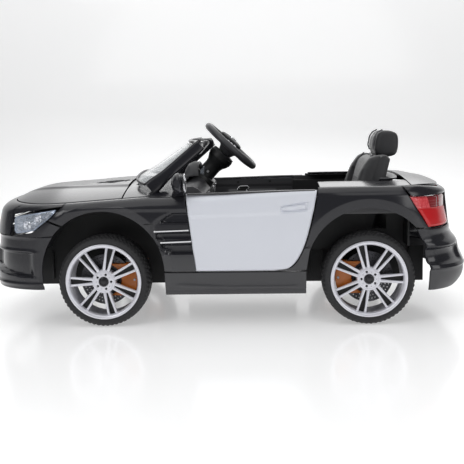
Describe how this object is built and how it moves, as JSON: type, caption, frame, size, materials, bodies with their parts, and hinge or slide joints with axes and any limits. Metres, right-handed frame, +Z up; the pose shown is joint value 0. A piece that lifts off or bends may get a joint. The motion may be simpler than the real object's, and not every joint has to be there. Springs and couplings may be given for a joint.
{
  "type": "child ride-on toy patrol car",
  "caption": "Battery ride-on toy patrol car for one child, with opening doors, a steering wheel linked to the front wheels, and rolling wheels.",
  "frame": {"origin": "on the floor under the middle of the car's length and width", "axes": "+X to the car's left, +Y towards its rear, +Z up"},
  "size_m": [0.628, 1.0556, 0.4269],
  "materials": {
    "gloss_black": "gloss",
    "satin_black": "satin",
    "white": "gloss",
    "silver": "satin",
    "chrome": "polished",
    "steel": "satin",
    "lamp_clear": "gloss",
    "lamp_red": "gloss",
    "screen": "gloss",
    "tyre_black": "satin",
    "seat_black": "satin",
    "caliper": "satin"
  },
  "bodies": {
    "body": {"floor_pan": "satin_black", "front_bumper": "gloss_black", "nose_panel": "gloss_black", "grille": "chrome", "bonnet": "gloss_black", "cowl": "gloss_black", "fender_left": "gloss_black", "fender_right": "gloss_black", "headlight_left": "lamp_clear", "headlight_right": "lamp_clear", "sills": "gloss_black", "quarter_left": "gloss_black", "quarter_right": "gloss_black", "rear_deck": "gloss_black", "rear_bumper": "gloss_black", "tail_panel": "gloss_black", "tail_light_left": "lamp_red", "tail_light_right": "lamp_red", "side_vents": "chrome", "windscreen_frame": "gloss_black", "windscreen": "screen", "dashboard": "satin_black", "steering_column": "satin_black", "seat": "seat_black", "mirror_left": "gloss_black", "mirror_right": "gloss_black", "battery": "satin_black", "front_axle_beam": "steel", "rear_axle": "steel", "drive_gearboxes": "satin_black", "rear_calipers": "caliper", "foot_pedal": "silver"},
    "left_door": {"door_left": "white", "door_trim_left": "satin_black"},
    "right_door": {"door_right": "white", "door_trim_right": "satin_black"},
    "left_knuckle": {"knuckle_left": "steel", "front_caliper_left": "caliper"},
    "right_knuckle": {"knuckle_right": "steel", "front_caliper_right": "caliper"},
    "track_rod": {"tie_rod": "steel"},
    "steering": {"steering_wheel": "satin_black", "steering_shaft": "steel"},
    "front_left_wheel": {"tyre_front_left": "tyre_black", "wheel_front_left": "silver"},
    "front_right_wheel": {"tyre_front_right": "tyre_black", "wheel_front_right": "silver"},
    "rear_left_wheel": {"tyre_rear_left": "tyre_black", "wheel_rear_left": "silver"},
    "rear_right_wheel": {"tyre_rear_right": "tyre_black", "wheel_rear_right": "silver"}
  },
  "joints": [
    {"name": "steering_wheel_turn", "type": "hinge", "parent": "body", "child": "steering", "pos_m": [0, 0.004, 0.371], "axis": [0, 0.682, 0.7314], "range_deg": [-44, 44]},
    {"name": "left_knuckle_steer", "type": "hinge", "parent": "body", "child": "left_knuckle", "pos_m": [0.19, -0.258, 0.097], "axis": [0, 0, 1], "range_deg": [-22, 22]},
    {"name": "right_knuckle_steer", "type": "hinge", "parent": "body", "child": "right_knuckle", "pos_m": [-0.19, -0.258, 0.097], "axis": [0, 0, 1], "range_deg": [-22, 22]},
    {"name": "track_rod_pivot", "type": "hinge", "parent": "left_knuckle", "child": "track_rod", "pos_m": [0.19, -0.216, 0.082], "axis": [0, 0, 1], "range_deg": [-22, 22]},
    {"name": "front_left_wheel_spin", "type": "hinge", "parent": "left_knuckle", "child": "front_left_wheel", "pos_m": [0.243, -0.258, 0.097], "axis": [1, 0, 0], "continuous": true},
    {"name": "front_right_wheel_spin", "type": "hinge", "parent": "right_knuckle", "child": "front_right_wheel", "pos_m": [-0.243, -0.258, 0.097], "axis": [1, 0, 0], "continuous": true},
    {"name": "rear_left_wheel_spin", "type": "hinge", "parent": "body", "child": "rear_left_wheel", "pos_m": [0.243, 0.297, 0.097], "axis": [1, 0, 0], "continuous": true},
    {"name": "rear_right_wheel_spin", "type": "hinge", "parent": "body", "child": "rear_right_wheel", "pos_m": [-0.243, 0.297, 0.097], "axis": [1, 0, 0], "continuous": true},
    {"name": "left_door_hinge", "type": "hinge", "parent": "body", "child": "left_door", "pos_m": [0.28, -0.052, 0.2], "axis": [0, 0, -1], "range_deg": [0, 60]},
    {"name": "right_door_hinge", "type": "hinge", "parent": "body", "child": "right_door", "pos_m": [-0.28, -0.052, 0.2], "axis": [0, 0, 1], "range_deg": [0, 60]}
  ],
  "couplings": [
    {"joint": "left_knuckle_steer", "follows": "steering_wheel_turn", "ratio": 0.5},
    {"joint": "right_knuckle_steer", "follows": "steering_wheel_turn", "ratio": 0.5},
    {"joint": "track_rod_pivot", "follows": "steering_wheel_turn", "ratio": -0.5}
  ]
}
